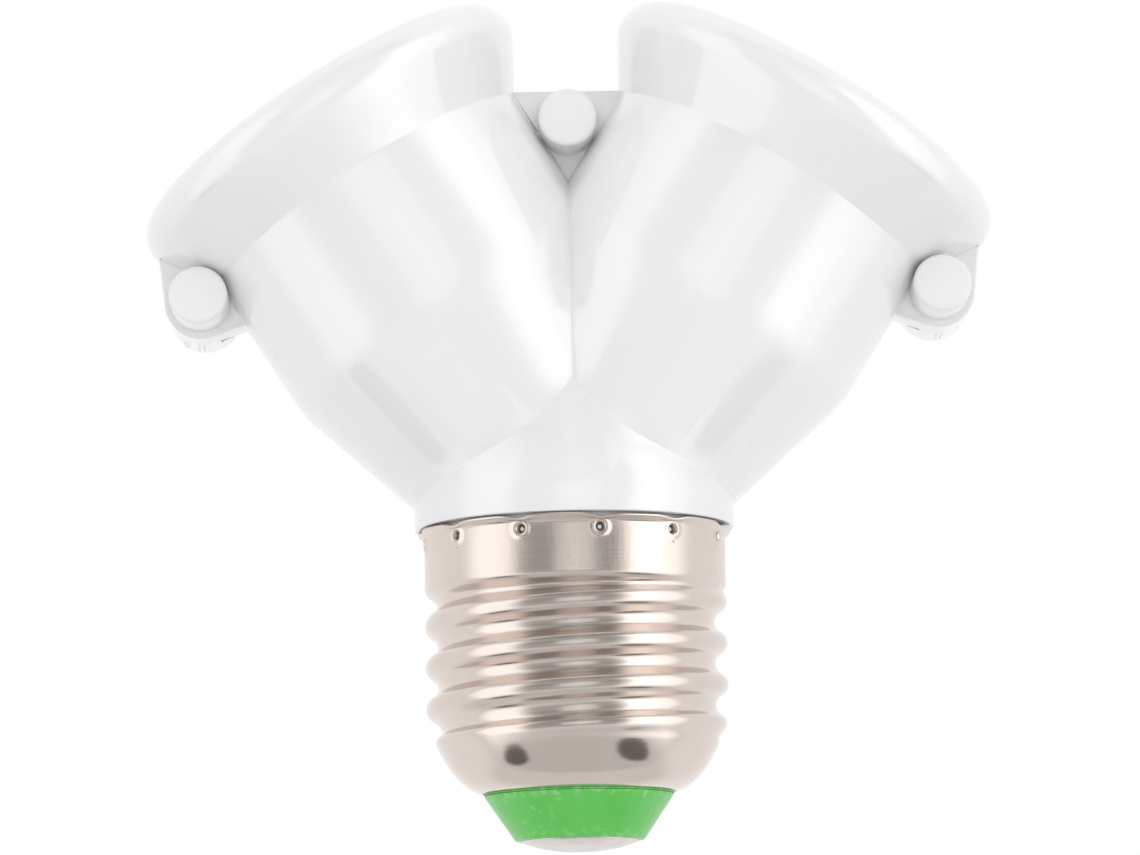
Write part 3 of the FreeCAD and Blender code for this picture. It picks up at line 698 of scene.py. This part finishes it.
# %% Green ring and centre contact
ring_foot, ring_head = ring_low.z / MM, ring_high.z / MM
ring_top = cap_low.z / MM
grip, inner_radius, flange_radius = 8.25, 2.25, 9.2
ring = turned("insulating_ring", [
    (inner_radius, ring_foot, 0), (5.6, ring_foot, 0.2), (8.3, ring_top - 0.05, 0.15),
    (grip, ring_top - 0.05, 0), (grip, ring_top + 0.3, 0), (flange_radius, ring_top + 1.0, 0.1),
    (flange_radius, ring_head, 0.2), (inner_radius, ring_head, 0),
], 160)
dress(ring, "cap_insulator")

contact_low, contact_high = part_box("centre_contact")
tip, shank_top = contact_low.z / MM, contact_high.z / MM
shank, shank_bore, bore_end = 2.2, 1.7, ring_foot + 0.8
contact = turned("contact_dome", [
    (0, tip, 0), (1.6, tip + 0.06, 1.2), (3.6, tip + 0.36, 3.0), (5.0, tip + 0.85, 0.3),
    (5.12, ring_foot, 0.05), (shank, ring_foot, 0), (shank, shank_top, 0.1),
    (shank_bore, shank_top, 0.1), (shank_bore, bore_end, 0), (0, bore_end, 0),
], 128)
dress(contact, "centre_contact")

# %% [markdown]
# The three screws come in from the rear, where their sunk heads show. A self-tapping screw has a
# thin core with a sharp helical rib. The same rolled grid makes it, with the rib in its formula,
# and two booleans press the cross into the head. One screw is made upright, laid over and copied.

# %% Cutting with a box or a round tool
def cut(piece, cutter):
    """Takes the cutter's form out of the piece and removes the cutter."""
    take(piece)
    taken = piece.modifiers.new("cut", "BOOLEAN")
    taken.operation = "DIFFERENCE"
    taken.solver = "EXACT"
    taken.object = cutter
    bpy.ops.object.modifier_apply(modifier=taken.name)
    bpy.data.objects.remove(cutter)


def block(low, high):
    """A box from its lowest and highest corner, in millimetres."""
    bpy.ops.object.select_all(action="DESELECT")
    middle = [(a + b) / 2 * MM for a, b in zip(low, high)]
    bpy.ops.mesh.primitive_cube_add(size=1, location=middle)
    piece = bpy.context.active_object
    piece.scale = [(b - a) * MM for a, b in zip(low, high)]
    bpy.ops.object.transform_apply(location=True, rotation=True, scale=True)
    return piece


def moved_copy(piece, name, matrix):
    """A copy with its own mesh, whose place and turn are in the mesh."""
    made = bpy.data.objects.new(name, piece.data.copy())
    bpy.context.collection.objects.link(made)
    made.data.transform(matrix)
    return made


# %% [markdown]
# The screw's tip and head come from the CAD node's box. The rib fades out at the tip and under the
# head, and the laid-over copies take their places from the bosses found before.

# %% Housing screws
screws_low, screws_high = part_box("housing_screws")
screw_tip, head_top = screws_low.y / MM, screws_high.y / MM
core_radius, head_radius, head_height = 1.12, 2.2, 1.5
head_seat = head_top - head_height
rib_pitch, rib_height = 1.1 * MM, 0.3 * MM
screw_profile = [
    (0, screw_tip), (0.4, screw_tip), (core_radius, screw_tip + 1.2), (core_radius, head_seat),
    (head_radius - 0.1, head_seat), (head_radius, head_seat + 0.1),
    (head_radius, head_top - 0.35), (head_radius - 0.35, head_top), (0, head_top),
]


def screw_point(angle, radius, height):
    along = (height / rib_pitch - angle / (2 * math.pi)) % 1
    rib = max(0.0, 1 - abs(along - 0.5) / 0.22) * (radius > 0.3 * MM)
    run = smooth_step(height, (screw_tip + 0.6) * MM, (screw_tip + 1.6) * MM)
    end = 1 - smooth_step(height, (head_seat - 1.8) * MM, (head_seat - 1.0) * MM)
    return radius + rib_height * rib * run * end, height


screw = rolled_wall("housing_screw", screw_profile, 64, 190, screw_point)
cross_arm, cross_reach, cross_depth = 0.3, 1.3, 0.9
for wide, high in ((cross_arm, cross_reach), (cross_reach, cross_arm)):
    cut(screw, block((-wide, -high, head_top - cross_depth), (wide, high, head_top + 1)))
bpy.ops.object.shade_smooth_by_angle(angle=smooth_under)
lay_over = Matrix.Rotation(math.radians(-90), 4, "X")
screw_set = joined("housing_screw_set", *[
    moved_copy(screw, "housing_screw", Matrix.Translation((x, 0, z)) @ lay_over)
    for x, z in screw_places
])
bpy.data.objects.remove(screw)
dress(screw_set, "housing_screws")

# %% [markdown]
# Each socket is made upright about Z first, at its distance along the socket's own axis, and a
# matrix then lays it over. The right socket leans by the same angle as the left one, half a turn
# round.

# %% Place of the two sockets
socket_tilt = math.radians(32.14)
crossing = 5.57 * MM
right_place = Matrix.Translation((0, 0, crossing)) @ Matrix.Rotation(socket_tilt, 4, "Y")
places = {"right": right_place, "left": Matrix.Rotation(math.pi, 4, "Z") @ right_place}
print("sockets lean by", round(math.degrees(socket_tilt), 2), "degrees")

# %% [markdown]
# The threaded sleeve is thin sheet with a plain lead-in lip, two turns of thread, an open floor
# and a solder tab. The same rolled grid makes it, with the thread in its formula, and a modifier
# then gives the sheet its thickness.

# %% Threaded sleeves
sleeve_foot, sleeve_top = 24.6, 37.8
lip_foot = sleeve_top - 2.2
thread_foot = lip_foot - 2 * pitch / MM
lip_radius, floor_hole = 13.4, 11.2
sheet, thread_fade = 0.3, 1.2
floor_face = sleeve_foot + sheet


def sleeve_point(angle, radius, height):
    low, high = thread_foot * MM, lip_foot * MM
    fade = smooth_step(height, low, low + thread_fade * MM)
    fade *= 1 - smooth_step(height, high - thread_fade * MM, high)
    ridge = knuckle_depth(height - pitch * angle / (2 * math.pi)) * 0.9
    return radius - ridge * fade, height


sleeve_profile = [
    (floor_hole, floor_face), (lip_radius - 0.5, floor_face),
    (lip_radius - 0.1, floor_face + 0.15), (lip_radius, floor_face + 0.5), (lip_radius, sleeve_top),
]
sleeve = rolled_wall("socket_sleeve", sleeve_profile, 256, 110, sleeve_point)
thicken(sleeve, sheet * MM, 1)
tab_radius, tab_foot, tab_width = 12.3, 18.4, 3.0
tab = block(
    (tab_radius, -tab_width / 2, tab_foot),
    (tab_radius + sheet, tab_width / 2, sleeve_foot + sheet / 2),
)
tab_ease = tab.modifiers.new("eased edges", "BEVEL")
tab_ease.width = 0.08 * MM
bpy.ops.object.modifier_apply(modifier=tab_ease.name)
sleeve = joined("socket_sleeve", sleeve, tab)
bpy.ops.object.shade_smooth_by_angle(angle=smooth_under)
for side, place in places.items():
    dress(moved_copy(sleeve, side + "_sleeve", place), side + "_socket_sleeve")
bpy.data.objects.remove(sleeve)

# %% [markdown]
# Under each sleeve sits a moulded insulating cup in two steps, and in its floor a rivet. Their CAD
# forms are right, so a merged copy with eased edges is enough. The leads, the ferrule and the
# solder keep their CAD meshes and only get their finishes.

# %% Insulating cups and rivets
for side in places:
    cup, rivet = side + "_contact_carrier", side + "_leaf_rivet"
    dress(eased_copy(cup, side + "_insulating_cup", 0.15 * MM), cup)
    dress(eased_copy(rivet, side + "_rivet", 0.12 * MM), rivet)

# %% [markdown]
# The spring leaf is one bent strip. A flat grid is laid along a line of straight runs and arcs,
# gets its sheet thickness and eased edges, and a round tool makes the rivet's hole. A lamp presses
# its crown down: the foot stays on the rivet while the tongue turns about the bend. Here the strip
# is made in one piece and no body carries it.

# %% Line of the spring leaf
leaf_sheet, leaf_width = 0.35, 5.0
foot_end, bend_at, bend_radius = 5.0, -4.0, 1.2
rise_angle, tip_angle, crown_radius = math.radians(24), math.radians(-35), 1.5
floor_top = 14.612
leaf_line = [(foot_end, leaf_sheet / 2)]


def run_to(angle, length):
    """A straight stretch from the end of the line."""
    u, t = leaf_line[-1]
    leaf_line.append((u + math.cos(angle) * length, t + math.sin(angle) * length))


def arc_about(centre, radius, start, end, steps=10):
    """Points of an arc about a centre, between two angles."""
    for step in range(1, steps + 1):
        a = start + (end - start) * step / steps
        leaf_line.append((centre[0] + radius * math.cos(a), centre[1] + radius * math.sin(a)))


quarter = math.pi / 2
slope_length, tip_length = 4.6, 1.2
bend_centre = (bend_at, leaf_sheet / 2 + bend_radius)
run_to(math.pi, foot_end - bend_at)
arc_about(bend_centre, bend_radius, -quarter, -3 * quarter + rise_angle)
run_to(rise_angle, slope_length)
slope_end = leaf_line[-1]
crown_centre = (
    slope_end[0] + crown_radius * math.sin(rise_angle),
    slope_end[1] - crown_radius * math.cos(rise_angle),
)
arc_about(crown_centre, crown_radius, quarter + rise_angle, quarter + tip_angle)
run_to(tip_angle, tip_length)
leaf_length = sum(math.dist(a, b) for a, b in zip(leaf_line[:-1], leaf_line[1:]))
print("leaf strip:", round(leaf_length, 2), "mm long,", len(leaf_line), "points")

# %% [markdown]
# The strip is made once at the upright socket and copied to both sides. Its ends are rounded by
# drawing the last rows of the grid together along a quarter circle.

# %% Spring leaves
bpy.ops.object.select_all(action="DESELECT")
bpy.ops.mesh.primitive_grid_add(x_subdivisions=150, y_subdivisions=10, size=1)
leaf = bpy.context.active_object
corner = 0.9
for vertex in leaf.data.vertices:
    share = vertex.co.x + 0.5
    u, t = along_line(leaf_line, share)
    near_end = max(0.0, corner - min(share, 1 - share) * leaf_length)
    narrowing = corner - math.sqrt(corner ** 2 - near_end ** 2)
    vertex.co = (u * MM, vertex.co.y * (leaf_width - 2 * narrowing) * MM, (t + floor_top) * MM)
close_up(leaf)
thicken(leaf, leaf_sheet * MM, 0)
leaf_ease = leaf.modifiers.new("eased edges", "BEVEL")
leaf_ease.width = 0.06 * MM
leaf_ease.segments = 2
leaf_ease.angle_limit = math.radians(50)
bpy.ops.object.modifier_apply(modifier=leaf_ease.name)
rivet_at, rivet_hole = 3.2, 1.0
bpy.ops.mesh.primitive_cylinder_add(
    vertices=48, radius=rivet_hole * MM, depth=3 * MM,
    location=(rivet_at * MM, 0, floor_top * MM),
)
cut(leaf, bpy.context.active_object)
bpy.ops.object.shade_smooth_by_angle(angle=smooth_under)
tongue_height = floor_top + bend_centre[1] + bend_radius
for side, place in places.items():
    strip = moved_copy(leaf, side + "_leaf_strip", place)
    dress(strip, side + "_contact_leaf", None)
    end = place @ Vector((bend_at * MM, 0, (tongue_height - leaf_sheet / 2) * MM))
    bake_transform(strip)
bpy.data.objects.remove(leaf)

# %% [markdown]
# The object hangs in a white studio. Most of the light comes evenly from all sides, and four soft
# lamps only shape it: a broad one from the right, a fill from the left, one in front, which
# reaches between the arms, and a faint one above. Neither the camera nor a reflection sees the
# lamps themselves.

# %% Lamps
def soft_lamp(name, place, aim, width, height, power):
    data = bpy.data.lights.new(name, "AREA")
    data.shape = "RECTANGLE"
    data.size, data.size_y, data.energy = width, height, power
    lamp = bpy.data.objects.new(name, data)
    bpy.context.collection.objects.link(lamp)
    lamp.location = place
    lamp.rotation_euler = (Vector(aim) - Vector(place)).to_track_quat("-Z", "Y").to_euler()
    lamp.visible_glossy = False
    lamp.visible_camera = False
    print(name, "gives", power, "watts")


middle_of_object = (0, 0, 0.012)
soft_lamp("key lamp", (0.4, -0.4, 0.0), middle_of_object, 0.4, 0.4, 0.42)
soft_lamp("fill lamp", (-0.45, -0.4, -0.05), middle_of_object, 0.4, 0.5, 0.25)
soft_lamp("front lamp", (0.0, -0.6, 0.03), middle_of_object, 0.3, 0.3, 0.45)
soft_lamp("top lamp", (0.0, -0.1, 0.6), middle_of_object, 0.5, 0.5, 0.1)

# %% [markdown]
# A shiny surface shows the room itself. So the air is plain for the light that falls on the
# object, plain white for the camera, and for reflections it is a pale room with a window behind
# the camera, two tall soft boxes beside it, a dark band under the ceiling and two dark patches
# near the floor. The room is drawn by two angles of the direction that is looked in: the turn to
# the right of the camera's side, and the climb above the horizon, both in degrees.

# %% The room that shiny surfaces reflect
world = bpy.data.worlds.new("studio air")
bpy.context.scene.world = world
world.use_nodes = True
air = Nodes(world.node_tree)
sky = air.tree.nodes["Background"]
sky.inputs["Color"].default_value = (1, 1, 1, 1)
ray = air.node("ShaderNodeLightPath")
east, north, up = air.split(air.node("ShaderNodeTexCoord").outputs["Generated"])
degrees = 180 / math.pi
turn = east.maths("ARCTAN2", east, north * -1) * degrees
climb = up.maths("ARCSINE", up) * degrees
aside = abs(turn)
front = aside.within(-1, 44, 9) * climb.within(-30, 44, 9)
window = aside.within(-1, 15, 1.5) * climb.within(-15, 20, 2)
dark_band = aside.within(-1, 54, 8) * climb.within(44, 72, 6)
dark_sides = aside.within(17, 46, 4) * climb.within(3, 25, 4)
near_floor = 1 - climb.steps(-50, -36)
left_box = turn.within(-88, -48, 6) * climb.within(-38, 40, 7)
right_box = turn.within(36, 90, 7) * climb.within(-36, 44, 7)
right_box = right_box + turn.within(40, 68, 5) * climb.within(-26, 44, 6) * 0.7


def round_patch(at_turn, at_climb, wide, high):
    """1 in a soft round patch of the room."""
    across, along = (turn - at_turn) / wide, (climb - at_climb) / high
    return 1 - (across * across + along * along).steps(0.6, 1.2)


patches = round_patch(-76, -50, 16, 7.4) + round_patch(63, -50, 22, 7.4)
behind = aside.steps(86, 104) * 0.14
room = 0.9 + behind - front * 0.4 - dark_sides * 0.1 - dark_band * 0.5 - near_floor * 0.2
room = (room + window * 0.38 + left_box * 0.65 + right_box * 0.7) * (1 - patches * 0.75)
seen = Number(air, ray.outputs["Is Camera Ray"])
shiny = Number(air, ray.outputs["Is Glossy Ray"])
clear = Number(air, ray.outputs["Is Transmission Ray"])
falling = (1 - seen) * (1 - shiny) * (1 - clear)
air.feed(sky.inputs["Strength"], falling * 0.88 + (seen + clear).steps(0, 1) + shiny * room)
print("nodes in the air:", len(air.tree.nodes))

# %% [markdown]
# The camera stands lower than the object and looks slightly up, so the floor lies lower still. It is
# pale and dull, with no more than a breath of mottling.

# %% Floor
floor_height = -0.06
bpy.ops.object.select_all(action="DESELECT")
bpy.ops.mesh.primitive_plane_add(size=6, location=(0, 0, floor_height))
floor = bpy.context.active_object
floor.name = "studio_floor"
floor.visible_glossy = False
floor_finish = Finish("pale studio floor")
floor_cloud = floor_finish.noise(0.2)
floor_finish.colour(floor_finish.mix(floor_cloud, linear(236, 236, 236), linear(240, 240, 240)))
floor_finish.roughness(0.7 + floor_finish.noise(0.05) * 0.05)
floor.data.materials.append(floor_finish.material)
floor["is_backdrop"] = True
print("floor at", round(floor_height / MM), "mm")

# %% [markdown]
# The camera stands where the photographer's did: almost straight in front, eight degrees below and
# rolled by one degree.

# %% Camera
distance = 420 * MM
azimuth, elevation, roll = (math.radians(v) for v in (-0.677, -8.369, 1.069))
target = Vector((-0.213, 0, 12.713)) * MM
photo_width = 1140
focal_pixels = 4779.2
camera_back = Vector((
    math.sin(azimuth) * math.cos(elevation),
    -math.cos(azimuth) * math.cos(elevation),
    math.sin(elevation),
))
level_right = Vector((math.cos(azimuth), math.sin(azimuth), 0))
level_up = camera_back.cross(level_right)
camera_right = level_right * math.cos(roll) - level_up * math.sin(roll)
camera_up = level_right * math.sin(roll) + level_up * math.cos(roll)
camera_data = bpy.data.cameras.new("photo camera")
camera_data.sensor_width = 36
camera_data.lens = focal_pixels * camera_data.sensor_width / photo_width
camera = bpy.data.objects.new("photo camera", camera_data)
bpy.context.collection.objects.link(camera)
camera_turn = Matrix((camera_right, camera_up, camera_back)).transposed().to_4x4()
camera.matrix_world = Matrix.Translation(target + camera_back * distance) @ camera_turn
camera_data.clip_start = 0.01
bpy.context.scene.camera = camera
bpy.context.scene.view_settings.view_transform = "Standard"
print("camera lens:", round(camera_data.lens, 1), "mm")

# %% [markdown]
# Dressing must not make the object larger. The box of the dressed object is written out.

# %% Size after dressing
low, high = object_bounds()
print("dressed box in mm:", [round(v / MM, 2) for v in (*low, *high)])
